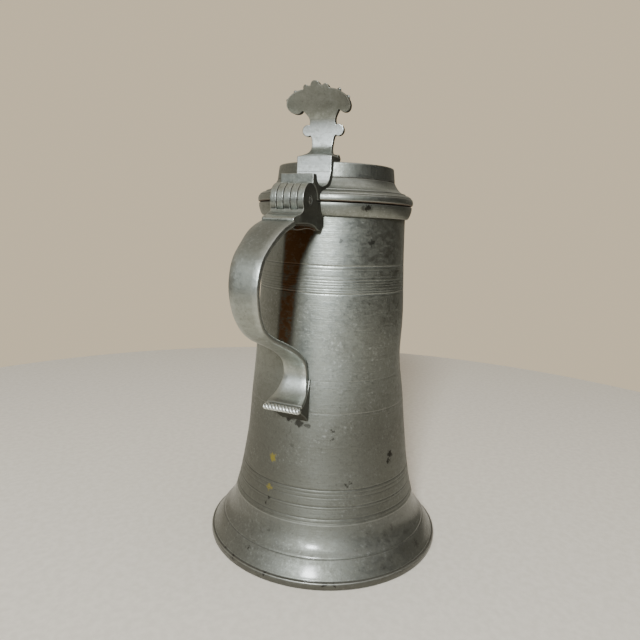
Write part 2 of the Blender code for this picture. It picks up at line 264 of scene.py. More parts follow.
def turned(name, profile, uneven=0.0, steps=ROUND_STEPS):
    """A turned piece, as open at its axis as its profile; uneven scales the sag of the walls."""
    angles = np.linspace(0.0, 2.0 * math.pi, steps, endpoint=False)
    cosines, sines = np.cos(angles), np.sin(angles)
    rows = []
    for r, z in profile:
        row = np.column_stack((r * cosines, r * sines, np.full(steps, z)))
        if uneven and r > 1.0:
            pushed = np.array([sag(u, v, z) for u, v in row[:, :2]]) * uneven
            row[:, :2] *= (1.0 - pushed / r)[:, None]
        rows.append(row)
    closed = profile[0][0] > 0.01
    mesh = mesh_from(name, np.vstack(rows), loop_faces(len(rows), steps, closed))
    return new_object(name, mesh)


def extruded(name, outline, axis, low, high):
    """A closed outline carried along one axis: 'v' from the side, 'u' from the front, 'z' from above."""
    count = len(outline)
    points = []
    for level in (low, high):
        for a, b in outline:
            points.append({"v": (a, level, b), "u": (level, a, b), "z": (a, b, level)}[axis])
    faces = [(i, (i + 1) % count, count + (i + 1) % count, count + i) for i in range(count)]
    faces += [tuple(range(count)), tuple(range(2 * count - 1, count - 1, -1))]
    return new_object(name, mesh_from(name, points, faces))


def rod(name, centre_uz, radius, low, high, sides=64):
    """A plain round bar along v."""
    return extruded(name, arc(centre_uz, radius, 0.0, 360.0 - 360.0 / sides, sides), "v", low, high)


def blob(name, centre, radii, turn_deg=0.0, lean=0.0):
    """An ellipsoid, turned about u and then leant outward by an angle in radians."""
    bm = bmesh.new()
    bmesh.ops.create_uvsphere(bm, u_segments=32, v_segments=16, radius=1.0)
    stretch = Matrix.Diagonal((*radii, 1.0))
    turn = Matrix.Rotation(lean, 4, 'Y') @ Matrix.Rotation(math.radians(turn_deg), 4, 'X')
    bmesh.ops.transform(bm, matrix=Matrix.Translation(centre) @ turn @ stretch, verts=bm.verts)
    points = [v.co.copy() for v in bm.verts]
    faces = [tuple(v.index for v in f.verts) for f in bm.faces]
    bm.free()
    return new_object(name, mesh_from(name, [tuple(p) for p in points], faces))


def settled(obj):
    """Apply the object's modifiers to its mesh."""
    bpy.context.view_layer.update()
    evaluated = obj.evaluated_get(bpy.context.evaluated_depsgraph_get())
    mesh = bpy.data.meshes.new_from_object(evaluated)
    obj.modifiers.clear()
    obj.data = mesh
    return obj


def cut(obj, tools, operation='DIFFERENCE'):
    """Boolean with each tool in turn; the tools are used up."""
    for tool in tools:
        modifier = obj.modifiers.new("Cut", 'BOOLEAN')
        modifier.operation = operation
        modifier.object = tool
        modifier.solver = 'EXACT'
        settled(obj)
        bpy.data.objects.remove(tool, do_unlink=True)
    return obj


def joined(name, solids):
    """One object holding all the solids' faces."""
    bm = bmesh.new()
    for solid in solids:
        bm.from_mesh(solid.data)
        bpy.data.objects.remove(solid, do_unlink=True)
    mesh = bpy.data.meshes.new(name)
    bm.to_mesh(mesh)
    bm.free()
    return new_object(name, mesh)


def cast(name, solids, voxel, soften):
    """Fuse overlapping solids into one casting with soft edges and filled corners."""
    obj = joined(name, solids)
    fuse = obj.modifiers.new("Fuse", 'REMESH')
    fuse.mode = 'VOXEL'
    fuse.voxel_size = voxel * MM
    ease = obj.modifiers.new("Soften", 'SMOOTH')
    ease.factor = 0.5
    ease.iterations = soften
    return settled(obj)


def vertex_rows(mesh, field):
    """A vector that every vertex has, such as "co" or "normal", in one row each."""
    values = np.empty(len(mesh.vertices) * 3)
    mesh.vertices.foreach_get(field, values)
    return values.reshape(-1, 3)


def vertex_places(mesh):
    """The u, v and z of every vertex in millimetres."""
    return (vertex_rows(mesh, "co") / MM - np.array((AXIS_X, 0.0, 0.0))).T


def store(mesh, name, values):
    """Keep a value from 0 to 1 for every vertex, for the material to read."""
    layer = mesh.attributes.new(name, 'FLOAT', 'POINT')
    layer.data.foreach_set("value", np.clip(values, 0.0, 1.0))


def warped(obj, move):
    """Move every vertex by a function of its place (u, v, z) in millimetres."""
    mesh = obj.data
    moved = np.column_stack(move(*vertex_places(mesh)))
    mesh.vertices.foreach_set("co", to_place(moved).ravel())
    mesh.update()
    return obj


def sliced(obj, height, keep_above):
    """Cut a casting flat at a height, with a sharp edge."""
    bm = bmesh.new()
    bm.from_mesh(obj.data)
    everything = bm.verts[:] + bm.edges[:] + bm.faces[:]
    level = Vector((0.0, 0.0, height * MM))
    cut_edges = bmesh.ops.bisect_plane(bm, geom=everything, plane_co=level, plane_no=(0.0, 0.0, 1.0),
                                       clear_inner=keep_above, clear_outer=not keep_above)["geom_cut"]
    rim = [e for e in cut_edges if isinstance(e, bmesh.types.BMEdge)]
    bmesh.ops.holes_fill(bm, edges=rim, sides=0)
    bm.to_mesh(obj.data)
    bm.free()
    return obj


def mark_wear(obj, spread):
    """Store how proud (above 0.5) or hollow (below 0.5) the surface is at each vertex, as 'wear'."""
    mesh = obj.data
    count = len(mesh.vertices)
    points = vertex_rows(mesh, "co") / MM
    normals = vertex_rows(mesh, "normal")
    ends = np.empty(len(mesh.edges) * 2, dtype=int)
    mesh.edges.foreach_get("vertices", ends)
    a, b = ends.reshape(-1, 2).T
    along = points[b] - points[a]
    length = np.maximum((along ** 2).sum(axis=1), 1e-4)
    bend = np.zeros(count)
    near = np.zeros(count)
    np.add.at(bend, a, -2.0 * (along * normals[a]).sum(axis=1) / length)
    np.add.at(bend, b, 2.0 * (along * normals[b]).sum(axis=1) / length)
    np.add.at(near, a, 1.0)
    np.add.at(near, b, 1.0)
    bend /= np.maximum(near, 1.0)
    for _ in range(spread):
        total = bend.copy()
        np.add.at(total, a, bend[b])
        np.add.at(total, b, bend[a])
        bend = total / (near + 1.0)
    store(mesh, "wear", 0.5 + 0.5 * bend)


def mark_grime_shade_and_sheen(obj, dirt_shade_and_sheen):
    """Store, for every vertex, how much darker it is painted for dirty places and for shade, and how
    much lighter for rubbing and for a painted highlight.

    Both come from one function of the place and the normal, below zero where it is painted lighter.
    """
    mesh = obj.data
    dirt_and_shade = np.zeros(len(mesh.vertices)) + dirt_shade_and_sheen(*vertex_places(mesh), *vertex_rows(mesh, "normal").T)
    store(mesh, "grime_and_shade", dirt_and_shade)
    store(mesh, "rub_and_sheen", -dirt_and_shade)


def step_up(value, low, high):
    """Smoothly from 0 at low to 1 at high."""
    t = np.clip((value - low) / (high - low), 0.0, 1.0)
    return t * t * (3.0 - 2.0 * t)


def clean(u, v, z, nu, nv, nz):
    """No dirt."""
    return 0.0


def finished(obj, body, nodes, material, spread=2, dirt_shade_and_sheen=clean):
    """Give a piece its finish and its place in the frame."""
    mesh = obj.data
    mesh.shade_smooth()
    mesh.set_sharp_from_angle(angle=math.radians(55.0))
    mark_wear(obj, spread)
    mark_grime_shade_and_sheen(obj, dirt_shade_and_sheen)
    mesh.materials.clear()
    mesh.materials.append(material)
    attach(obj, body)
    if nodes:
        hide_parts(*nodes)
    return obj


# ------------------------ materials
class Shader:
    """A material's node tree, with a short call for each kind of node."""

    def __init__(self, name):
        self.material = bpy.data.materials.new(name)
        self.material.use_nodes = True
        self.tree = self.material.node_tree
        self.surface = self.tree.nodes["Principled BSDF"]
        self.position = self.make("TexCoord").outputs["Object"]

    def make(self, kind, feeds=None, **settings):
        node = self.tree.nodes.new("ShaderNode" + kind)
        for key, value in settings.items():
            setattr(node, key, value)
        for socket, value in (feeds or {}).items():
            self.feed(node.inputs[socket], value)
        return node

    def feed(self, socket, value):
        if isinstance(value, bpy.types.NodeSocket):
            self.tree.links.new(value, socket)
        else:
            socket.default_value = value

    def math(self, operation, a, b=0.0, clamp=False):
        return self.make("Math", {0: a, 1: b}, operation=operation, use_clamp=clamp).outputs[0]

    def stretched(self, scale, turn=(0.0, 0.0, 0.0)):
        """The position, scaled by a different amount along each axis (per metre)."""
        feeds = {"Vector": self.position, "Rotation": turn, "Scale": scale}
        return self.make("Mapping", feeds).outputs[0]

    def noise(self, scale, detail=4.0, rough=0.55, vector=None, warp=0.0):
        feeds = {"Vector": vector or self.position, "Scale": scale, "Detail": detail,
                 "Roughness": rough, "Distortion": warp}
        return self.make("TexNoise", feeds).outputs["Fac"]

    def span(self, value, low, high, to_low=0.0, to_high=1.0):
        """Value from low to high, eased and mapped to another range."""
        feeds = {"Value": value, "From Min": low, "From Max": high, "To Min": to_low, "To Max": to_high}
        return self.make("MapRange", feeds, interpolation_type='SMOOTHSTEP').outputs[0]

    def mix(self, factor, a, b):
        node = self.make("Mix", data_type='RGBA')
        self.feed(node.inputs[0], factor)
        self.feed(node.inputs[6], a)
        self.feed(node.inputs[7], b)
        return node.outputs[2]

    def attribute(self, name):
        return self.make("Attribute", attribute_name=name).outputs["Fac"]

    def bump(self, height, distance, normal=None):
        feeds = {"Height": height, "Distance": distance}
        if normal is not None:
            feeds["Normal"] = normal
        return self.make("Bump", feeds).outputs[0]


def colour(red, green, blue):
    return (red, green, blue, 1.0)


# Colours for dirty places and for painted shade alike
GRIME_AND_SHADE = colour(0.040, 0.032, 0.020)
BROWN_DIRT_AND_SHADE = colour(0.080, 0.031, 0.005)      # the heaviest: mostly painted shadow and shade, also the dark split under the lid
HOLLOWS = colour(0.050, 0.047, 0.038)
PITS = colour(0.030, 0.028, 0.025)
CORRODED = colour(0.022, 0.019, 0.015)
OLIVE = colour(0.40, 0.34, 0.05)
# Rubbed metal, also used for painted highlights
RUBBED_AND_SHEEN = colour(0.86, 0.90, 0.89)
EDGES = colour(0.62, 0.64, 0.60)
PALE_FLECK = colour(0.74, 0.77, 0.75)
DARK_FLECK = colour(0.15, 0.155, 0.14)


def spot_mask(s, spots, radius_at):
    """Ragged patches round places on a turned surface."""
    ragged = s.make("TexNoise", {"Vector": s.position, "Scale": 520.0, "Detail": 3.0}).outputs["Color"]
    shift = s.make("VectorMath", {0: ragged, 1: (0.5, 0.5, 0.5)}, operation='SUBTRACT').outputs[0]
    shift = s.make("VectorMath", {0: shift, "Scale": 0.0060}, operation='SCALE').outputs[0]
    place = s.make("VectorMath", {0: s.position, 1: shift}, operation='ADD').outputs[0]
    mask = None
    for azimuth, height, size, strength in spots:
        radius = radius_at(height)
        turn = math.radians(azimuth)
        centre = (AXIS_X * MM + radius * MM * math.cos(turn), radius * MM * math.sin(turn), height * MM)
        away = s.make("VectorMath", {0: place, 1: centre}, operation='DISTANCE').outputs["Value"]
        patch = s.span(away, size * MM * 0.55, size * MM * 1.15, strength, 0.0)
        mask = patch if mask is None else s.math('MAXIMUM', mask, patch)
    return mask


def pewter(name, light, dark, polish, lathe, spots=(), stains=(), radius_at=None, gloss=0.0):
    """Old pewter: mottled grey, dirt in hollows, rubbed edges, scratches, pits.

    lathe adds turning lines; gloss adds a thin polished film over the metal.
    """
    s = Shader(name)
    wear = s.attribute("wear")
    hollow = s.span(wear, 0.48, 0.30)
    proud = s.span(wear, 0.56, 0.80)

    clouds = s.noise(30.0, 4.0, 0.55)
    blotches = s.noise(1.0, 6.0, 0.68, s.stretched((210.0, 210.0, 330.0)), warp=0.3)
    grain = s.noise(1300.0, 3.0, 0.6)
    tone = s.math('ADD', s.math('MULTIPLY', clouds, 0.30), s.math('MULTIPLY', blotches, 0.70))
    base = s.mix(s.span(tone, 0.36, 0.62), dark, light)
    base = s.mix(s.span(grain, 0.35, 0.75, 0.0, 0.30), base, dark)

    lines = s.noise(1.0, 3.0, 0.6, s.stretched((14.0, 14.0, 1500.0)))
    fine_lines = s.noise(1.0, 2.0, 0.5, s.stretched((30.0, 30.0, 5200.0)))
    base = s.mix(s.span(lines, 0.60, 0.78, 0.0, 0.30 * lathe), base, dark)

    scratch_turns = ((0.3, 0.5, 0.2), (1.1, -0.4, 0.9), (-0.7, 0.9, 1.9))
    scratches = None
    for number, turn in enumerate(scratch_turns):
        streak = s.noise(1.0, 2.0, 0.5, s.stretched((40.0, 2600.0, 60.0 + 15.0 * number), turn))
        hair = s.span(streak, 0.70, 0.76)
        scratches = hair if scratches is None else s.math('MAXIMUM', scratches, hair)
    patchy = s.span(s.noise(24.0, 2.0), 0.45, 0.65)
    scratches = s.math('MULTIPLY', scratches, patchy)

    cells = s.make("TexVoronoi", {"Vector": s.position, "Scale": 150.0, "Randomness": 1.0}, feature='F1')
    rare = s.span(s.noise(70.0, 2.0), 0.66, 0.70)
    pits = s.math('MULTIPLY', s.span(cells.outputs["Distance"], 0.11, 0.04), rare)

    flecks = s.noise(620.0, 3.0, 0.7)
    fleck_area = s.span(s.noise(38.0, 3.0), 0.42, 0.62, 0.15, 1.0)
    fleck = s.math('MULTIPLY', s.span(flecks, 0.54, 0.68, 0.0, 0.60), fleck_area)
    base = s.mix(fleck, base, PALE_FLECK)
    base = s.mix(s.span(flecks, 0.44, 0.28, 0.0, 0.45), base, DARK_FLECK)
    uneven = s.span(blotches, 0.25, 0.60, 0.85, 1.05)
    # Darker where painted for dirty places and for shade, brown where heaviest.
    grime_and_shade = s.math('MULTIPLY', s.attribute("grime_and_shade"), uneven, clamp=True)
    dirt_and_shade = s.mix(s.span(grime_and_shade, 0.85, 0.95), GRIME_AND_SHADE, BROWN_DIRT_AND_SHADE)
    base = s.mix(s.math('MULTIPLY', grime_and_shade, 0.97), base, dirt_and_shade)
    # Lighter where rubbed and where a highlight is painted.
    rub_and_sheen = s.math('MULTIPLY', s.attribute("rub_and_sheen"), s.span(blotches, 0.32, 0.58, 0.40, 1.0))
    base = s.mix(rub_and_sheen, base, RUBBED_AND_SHEEN)
    base = s.mix(s.math('MULTIPLY', hollow, 0.80 - 0.30 * lathe), base, HOLLOWS)
    if stains:
        base = s.mix(spot_mask(s, stains, radius_at), base, OLIVE)
    if spots:
        base = s.mix(spot_mask(s, spots, radius_at), base, CORRODED)
    base = s.mix(s.math('MULTIPLY', proud, 0.30), base, EDGES)
    base = s.mix(s.math('MULTIPLY', pits, 0.6), base, PITS)
    s.feed(s.surface.inputs["Base Color"], base)

    rough = s.span(blotches, 0.30, 0.70, polish + 0.10, polish - 0.05)
    rough = s.math('ADD', rough, s.span(grain, 0.3, 0.8, 0.0, 0.08))
    rough = s.math('ADD', rough, s.math('MULTIPLY', hollow, 0.20))
    rough = s.math('ADD', rough, s.math('MULTIPLY', grime_and_shade, 0.15))
    rough = s.math('ADD', rough, s.math('MULTIPLY', rub_and_sheen, 0.14))
    rough = s.math('SUBTRACT', rough, s.math('MULTIPLY', proud, 0.08), clamp=True)
    s.feed(s.surface.inputs["Roughness"], rough)
    s.surface.inputs["Metallic"].default_value = 1.0
    s.surface.inputs["Coat Weight"].default_value = gloss
    s.surface.inputs["Coat Roughness"].default_value = 0.17

    normal = s.bump(s.math('MULTIPLY', lines, lathe), 0.00004)
    normal = s.bump(s.math('MULTIPLY', fine_lines, lathe), 0.000015, normal)
    normal = s.bump(blotches, 0.00009, normal)
    normal = s.bump(grain, 0.00002, normal)
    normal = s.bump(s.math('SUBTRACT', 1.0, scratches), 0.00002, normal)
    normal = s.bump(s.math('SUBTRACT', 1.0, pits), 0.00012, normal)
    s.feed(s.surface.inputs["Normal"], normal)
    return s.material


# ------------------------ body
def body_dirt_and_shade(u, v, z, nu, nv, nz):
    """Dirty places by the wedge, under the band and inside; painted shade low down and by the handle.

    A brown streak beside the handle is its painted shadow and reflection, with painted shade
    further round behind it. The streak stands where the photo shows what is most likely the handle's
    shadow and reflection. It is painted on, so it stays from every side and under any light.
    """
    azimuth = np.degrees(np.arctan2(v, u))
    # Painted shadow and reflection of the handle: a brown streak between these azimuths.
    left = np.interp(z, (130.0, 190.0), (-20.6, -18.4))
    right = np.interp(z, (135.0, 165.0, 180.0, 190.0, 202.0), (-5.0, -3.0, -0.5, 5.0, 14.0))
    shadow_streak = step_up(azimuth, left - 4.0, left + 3.0) * step_up(azimuth, right + 4.0, right - 3.5)
    shadow_streak *= np.interp(z, (130.0, 160.0, 185.0), (0.93, 0.96, 1.0))
    under_hinge = shadow_streak * step_up(z, 116.0, 134.0)
    # Painted shade and reflection further round, behind the handle.
    behind = 0.45 * step_up(azimuth, -6.0, -12.0) * step_up(azimuth, -80.0, -50.0)
    behind *= step_up(z, 118.0, 132.0)
    # Painted shade: darker towards the bottom.
    lower = 0.64 * step_up(z, 150.0, 74.0)
    by_wedge = 0.45 * np.exp(-(azimuth / 13.0) ** 2 - ((z - 106.0) / 16.0) ** 2)
    under_band = 0.40 * step_up(z, 203.6, 205.4)
    seam = 0.8 * np.exp(-((z - SEAM_Z) / 0.5) ** 2)
    above_foot = 0.30 * step_up(z, 31.5, 30.2)
    inside = 0.45 * step_up(-(nu * u + nv * v) / np.hypot(u, v), 0.0, 0.5)
    near_rings = np.maximum.reduce((under_band, seam, above_foot))
    return np.maximum.reduce((under_hinge, behind, by_wedge, near_rings, inside, lower))


def foot_dirt_and_shade(u, v, z, nu, nv, nz):
    """The foot is dull all over and darker along its bottom edge; painted shade darkens its downward
    faces.
    """
    edge = 0.80 * step_up(z, 5.4, 4.4)
    steps = 0.40 * np.maximum(np.exp(-((z - 14.0) / 0.9) ** 2), step_up(z, 28.0, 29.8))
    # Painted shade on the downward faces.
    under = 0.60 * step_up(nz, -0.2, -0.6)
    return np.maximum(0.62, np.maximum.reduce((edge, steps, under)))


def band_dirt(u, v, z, nu, nv, nz):
    """The rim band is tarnished, most of all at its edges."""
    return 0.32 + 0.5 * step_up(z, RIM_Z - 0.8, RIM_Z) + 0.35 * step_up(z, BAND_LOW.z + 1.2, BAND_LOW.z)


def lid_dirt_and_shade(u, v, z, nu, nv, nz):
    """The lid is duller than the body; the corners of its mouldings are dirty, and painted shade darkens
    its underside.
    """
    corners = np.exp(-((z - 219.6) / 0.7) ** 2) + np.exp(-((z - 227.2) / 0.7) ** 2)
    corners += np.exp(-((z - 217.4) / 0.6) ** 2)
    split = step_up(z, LID_Z + 1.0, LID_Z)
    groove = step_up(np.abs(np.hypot(u, v) - 31.5), 2.0, 0.5)
    top = step_up(z, 234.9, 235.2) * (0.25 + 0.35 * groove) * step_up(nz, 0.3, 0.8)
    # Painted shade on the downward faces.
    under = 0.4 * step_up(nz, -0.2, -0.7)
    wall = 0.34 + 0.14 * step_up(z, 221.0, 226.0)
    return wall + 0.30 * corners + 0.45 * split + top + under


def body_wall(name, top, bottom, node):
    """One drum of the body: rings and dents outside, a plain wall inside."""
    heights = ring_heights(top, bottom)
    outer = [(body_radius(z), z) for z in heights]
    inner_heights = np.linspace(bottom, top, 24)
    inner = [(lookup(BODY_CURVE, z) - WALL, z) for z in inner_heights]
    return finished(turned(name, outer + inner, uneven=1.0), "flagon", [node], TURNED,
                    dirt_shade_and_sheen=body_dirt_and_shade)


def make_body():
    """The two drums, the foot, the disc that closes the body, and the band round the mouth."""
    foot_top = FOOT_HIGH.z + 0.15
    body_wall("upper_body_wall", RIM_Z, SEAM_Z, "upper_drum")
    body_wall("lower_body_wall", SEAM_Z, foot_top, "lower_drum")

    sweep = smooth_line([(58.55, foot_top), (59.5, 26.5), (61.1, 21.8), (63.3, 17.8), (66.2, 14.6)], 8)
    torus = smooth_line([(67.0, 13.6), (68.6, 11.6), (70.6, 8.8), (72.2, 6.4), (73.1, 5.2)], 6)
    lower = [(73.3, 4.6, 0.25), (74.5, 4.3, 0.4), (FOOT_R - 0.02, 3.2, 0.8), (FOOT_R - 0.1, 1.2, 0.6),
             (74.3, 0.0, 0.5), (72.2, 0.0, 0.4), (71.8, 3.0, 1.0)]
    hidden = [(68.0, 8.0), (64.2, 12.6), (61.3, 15.8), (58.9, 20.4), (57.2, 26.0), (56.4, FOOT_HIGH.z)]
    step = [(66.4, 14.1), (66.5, 13.9)]
    profile = [tuple(p) for p in sweep] + step + [tuple(p) for p in torus]
    profile += [tuple(p) for p in rounded(profile[-1:] + lower + hidden[:1])[1:-1]]
    profile += hidden
    finished(turned("foot", profile, uneven=0.8), "flagon", ["foot_skirt"], FOOT, 1, foot_dirt_and_shade)

    disc_r = (FLOOR_HIGH.x - FLOOR_LOW.x) / 2
    top, bottom = FLOOR_HIGH.z, FLOOR_LOW.z
    disc = [(0.0, top)] + [(r, top + 0.05 * math.sin(r)) for r in np.linspace(4.0, disc_r - 0.4, 30)]
    disc += [(disc_r, top - 0.3), (disc_r, bottom + 0.3)]
    disc += [(r, bottom + 0.12 * math.sin(r / 2.0) + 0.12) for r in np.linspace(disc_r - 0.4, 3.0, 34)]
    disc += [(0.0, bottom + 0.1)]
    finished(turned("base_disc", disc), "flagon", ["base_plate"], INSIDE)

    band = rounded([
        (47.3, RIM_Z, 0.35), (47.35, 211.4, 0.8), (46.9, 209.2, 1.4), (46.2, 207.2, 1.4),
        (45.3, 205.7, 0.6), (44.3, BAND_LOW.z, 0.2), (43.4, BAND_LOW.z), (43.4, RIM_Z - 0.1),
    ], 6)
    ring = turned("rim_band", [tuple(p) for p in band], uneven=0.6)
    finished(ring, "flagon", ["lip_band"], TURNED, dirt_shade_and_sheen=band_dirt)


# ------------------------ hinge
def knuckle_spans():
    """(low, high) along v for each knuckle, a gap apart."""
    width = (2 * HINGE_HALF - (KNUCKLE_COUNT - 1) * KNUCKLE_GAP) / KNUCKLE_COUNT
    starts = [-HINGE_HALF + i * (width + KNUCKLE_GAP) for i in range(KNUCKLE_COUNT)]
    return [(start, start + width) for start in starts]


def knuckle_rooms(numbers):
    """Cutters that make room for the other leaf's knuckles."""
    rooms = []
    for number in numbers:
        low, high = knuckle_spans()[number]
        low -= KNUCKLE_GAP if number > 0 else 1.0
        high += KNUCKLE_GAP if number < KNUCKLE_COUNT - 1 else 1.0
        rooms.append(rod("room", (HINGE.x, HINGE.z), KNUCKLE_R + 0.3, low, high))
    return rooms


def bracket_dirt_and_shade(u, v, z, nu, nv, nz):
    """Painted shade on the bracket's sides towards the body, on its underside and in its blind hollow.
    """
    # Painted shade on the sides, the underside and in the hollow.
    sides = 0.80 * step_up(np.abs(nv), 0.04, 0.22) * step_up(u, 73.0, 66.0)
    under = 0.75 * step_up(nz, -0.1, -0.5) * step_up(u, 74.0, 66.0)
    hollow = 1.0 * (((u - 48.5) / 3.95) ** 2 + ((v - 2.2) / 6.6) ** 2 < 1.0) * (z < 203.2)
    neck = 0.6 * np.exp(-((z - 205.6) / 0.5) ** 2) * (u > 66.0) * (nz > 0.0)
    return np.maximum.reduce((sides, under, hollow, neck))


def leaf_shade_and_sheen(u, v, z, nu, nv, nz):
    """Painted shade on the leaf's sides, at the bottom of its trough and behind and under the stop
    block.

    The plate above the trough is lighter: rubbed, with a painted highlight.
    """
    sides = 0.80 * step_up(np.abs(nv), 0.04, 0.22)
    trough = 0.55 * step_up(z, 223.2, 221.4) * (nz > 0.2) * (u < 52.0)
    behind = 0.60 * (nu < -0.3) * (u > 48.0)
    below_block = 0.5 * (u > 52.0) * np.exp(-((z - 222.2) / 0.8) ** 2)
    dirt_and_shade = np.maximum.reduce((sides, trough, behind, below_block))
    # Elsewhere the plate is painted lighter: rubbed, and a painted highlight.
    return np.where(dirt_and_shade > 0.02, dirt_and_shade, -0.85 * step_up(z, 221.8, 224.0) * (u < 50.0))


def make_hinge():
    """The handle-side bracket with knuckles 0, 2 and 4, and the lid-side leaf with 1 and 3."""
    centre = (HINGE.x, HINGE.z)
    barrel = arc(centre, KNUCKLE_R, -31.0, 178.0, 48)
    side = (
        [(42.2, 199.4), (44.6, 198.2), (45.8, 197.2), (47.4, 197.3), (51.5, 199.4), (56.0, 200.5),
         (61.0, 200.9), (68.0, 200.9), (75.4, 200.4), (76.9, 202.3), (76.6, 203.3), (75.2, 204.2),
         (73.0, 204.6), (70.9, 205.1),
         (70.6, 205.5), (70.3, 205.6), (69.9, 205.2), (69.0, 205.9), (67.8, 206.4), (67.0, 207.2)]
        + barrel + [(49.6, RIM_Z - 0.1), (42.2, RIM_Z - 0.1)]
    )
    web = extruded("web", side, "v", -HINGE_HALF + 0.1, HINGE_HALF - 0.1)
    body_room = turned("room", [(0.0, 216.0), (46.4, 216.0), (46.0, 209.0), (44.6, 206.0), (43.5, 204.0),
                                (44.3, 180.0), (0.0, 180.0)], steps=96)
    oval = arc((0, 0), 1.0, 0.0, 352.5, 48)
    hollow = extruded("hollow", [(48.5 + 3.6 * a, 1.5 + 6.1 * b) for a, b in oval], "z", 185.0, 203.0)
    bore = rod("bore", centre, BORE_R, -20.0, 20.0)
    cut(web, [body_room, hollow, bore] + knuckle_rooms((1, 3)))
    bracket = cast("hinge_bracket_casting", [web], 0.22, 3)
    warped(bracket, lambda u, v, z: (u, v * np.interp(u, (67.0, 76.0), (1.0, 0.93))
                                     + np.clip(0.16 * (49.0 - u), 0.0, 1.0), z))
    finished(bracket, "flagon", ["hinge_bracket"], CAST, 3, bracket_dirt_and_shade)

    leaf_side = (
        [(38.0, LID_Z), (49.5, LID_Z)]
        + arc(centre, KNUCKLE_R, 180.0, 465.0, 64)
        + [(55.9, 222.4), (55.9, 227.0), (51.8, 227.0), (50.6, 223.8), (48.2, 221.7), (45.0, 221.2),
           (42.2, 221.9), (40.4, 223.1), (39.1, 224.9), (38.3, 227.0)] + PLATE_FACE[:3] + [
         (30.0, 233.5), (30.0, LID_Z)]
    )
    leaf = extruded("leaf", leaf_side, "v", -HINGE_HALF + 0.1, HINGE_HALF - 0.1)
    lid_room = turned("room", [(0.0, 240.0), (35.2, 240.0), (35.6, 231.0), (36.0, 228.0), (36.9, 225.0),
                               (39.0, 222.0), (41.0, 220.3), (45.2, 219.0), (46.8, 217.6), (47.2, 215.0),
                               (47.0, 210.0), (0.0, 210.0)], steps=96)
    bore = rod("bore", centre, BORE_R, -20.0, 20.0)
    cut(leaf, [lid_room, bore] + knuckle_rooms((0, 2, 4)))
    leaf = sliced(cast("lid_leaf_casting", [leaf], 0.22, 3), PLATE_SPLIT, keep_above=False)
    warped(leaf, lambda u, v, z: (u, v * np.interp(u, (38.5, 46.0), (1.08, 1.0))
                                  + np.clip(0.112 * (49.0 - u), 0.0, LID_SKEW), z))
    finished(leaf, "lid", ["lid_leaf"], CAST, 3, leaf_shade_and_sheen)

    make_pin()


def pin_dirt(u, v, z, nu, nv, nz):
    """The pin is dark all over."""
    return 0.75


def make_pin():
    """Wire through the knuckles, with slightly domed ends."""
    end = [(0.0, 0.0), (1.2, 0.05), (1.9, 0.35), (2.0, 0.8)]
    profile = [(r, HINGE_HALF - z) for r, z in end] + [(r, -HINGE_HALF + z) for r, z in reversed(end)]
    steps = 40
    angles = np.linspace(0.0, 2.0 * math.pi, steps, endpoint=False)
    rows = []
    for r, v in profile:
        u, z = HINGE.x + r * np.cos(angles), HINGE.z + r * np.sin(angles)
        rows.append(np.column_stack((u, np.full(steps, v), z)))
    pin = new_object("pin", mesh_from("pin", np.vstack(rows), loop_faces(len(rows), steps, False)))
    finished(pin, "flagon", ["hinge_pin"], PIN, 2, pin_dirt)


# ------------------------ handle
STRAP_OUTER = [
    (75.5, 202.3), (84.0, 199.5), (91.4, 195.8), (98.9, 190.2), (104.5, 184.9), (107.8, 178.5),
    (REACH - 0.05, 170.0), (107.9, 161.6), (104.7, 154.4), (99.2, 147.8), (91.4, 142.8), (81.5, 138.6),
    (70.5, 134.0), (60.8, 129.0), (54.3, 124.0), (51.5, 118.0), (52.3, 111.8), (56.4, 106.3),
    (64.2, 102.7),
]
STRAP_WIDTHS = [
    (206.0, 9.4), (198.0, 9.3), (190.0, 8.5), (178.0, 8.1), (160.0, 7.4), (147.0, 6.5), (138.0, 6.7),
    (118.0, 7.2), (111.0, 8.2), (106.0, 9.7), (102.5, 11.0), (98.0, 11.3),
]
STRAP_THICKNESS = 3.0


def strap_section(half, thickness):
    """Half-turn of the strap's section as (across, depth): a slightly crowned face and eased edges."""
    ease = 0.55
    flank = half - ease
    outer = [(-flank, 0.06), (-half * 0.5, -0.03), (0.0, -0.05), (half * 0.5, -0.03), (flank, 0.06)]
    right = [(half - 0.16, 0.22), (half, 0.6), (half, thickness - 0.6), (half - 0.16, thickness - 0.2)]
    inner = [(flank, thickness), (0.0, thickness), (-flank, thickness)]
    left = [(-a, b) for a, b in reversed(right)]
    return outer + right + inner + left


def strap_dirt_shade_and_sheen(u, v, z, nu, nv, nz):
    """Painted shade on the strap's sides, its inner face and its upper part; its end is dirty.

    On the lower flare a lighter band is rubbed metal with a painted highlight.
    """
    # Painted shade on the sides and the inner face.
    sides = 0.62 * step_up(np.abs(nv), 0.5, 0.9)
    inside_loop = step_up((70.0 - u) * nu + (165.0 - z) * nz, 4.0, 14.0)
    inner = 0.55 * np.where(z > 128.0, inside_loop, step_up(nu, 0.0, -0.4))
    end = 0.55 * step_up(z, 104.6, 103.2)
    # Painted shade: darker over the upper strap, most near the top.
    top = 0.18 * step_up(z, 120.0, 132.0) + 0.34 * step_up(z, 176.0, 196.0)
    dirt_and_shade = np.maximum.reduce((sides, inner, top, end))
    # A lighter band on the lower flare: rubbed, with a painted highlight.
    return np.where(dirt_and_shade > 0.02, dirt_and_shade, -0.45 * np.exp(-((z - 111.0) / 5.0) ** 2) * (u < 60.0))


def wedge_dirt_and_shade(u, v, z, nu, nv, nz):
    """The wedge is dirty all over; painted shade darkens its sides and most of all its underside."""
    # Painted shade on the sides and the underside.
    return np.maximum(0.72 + 0.08 * step_up(np.abs(nv), 0.4, 0.8), 0.84 * step_up(nz, -0.2, -0.7))


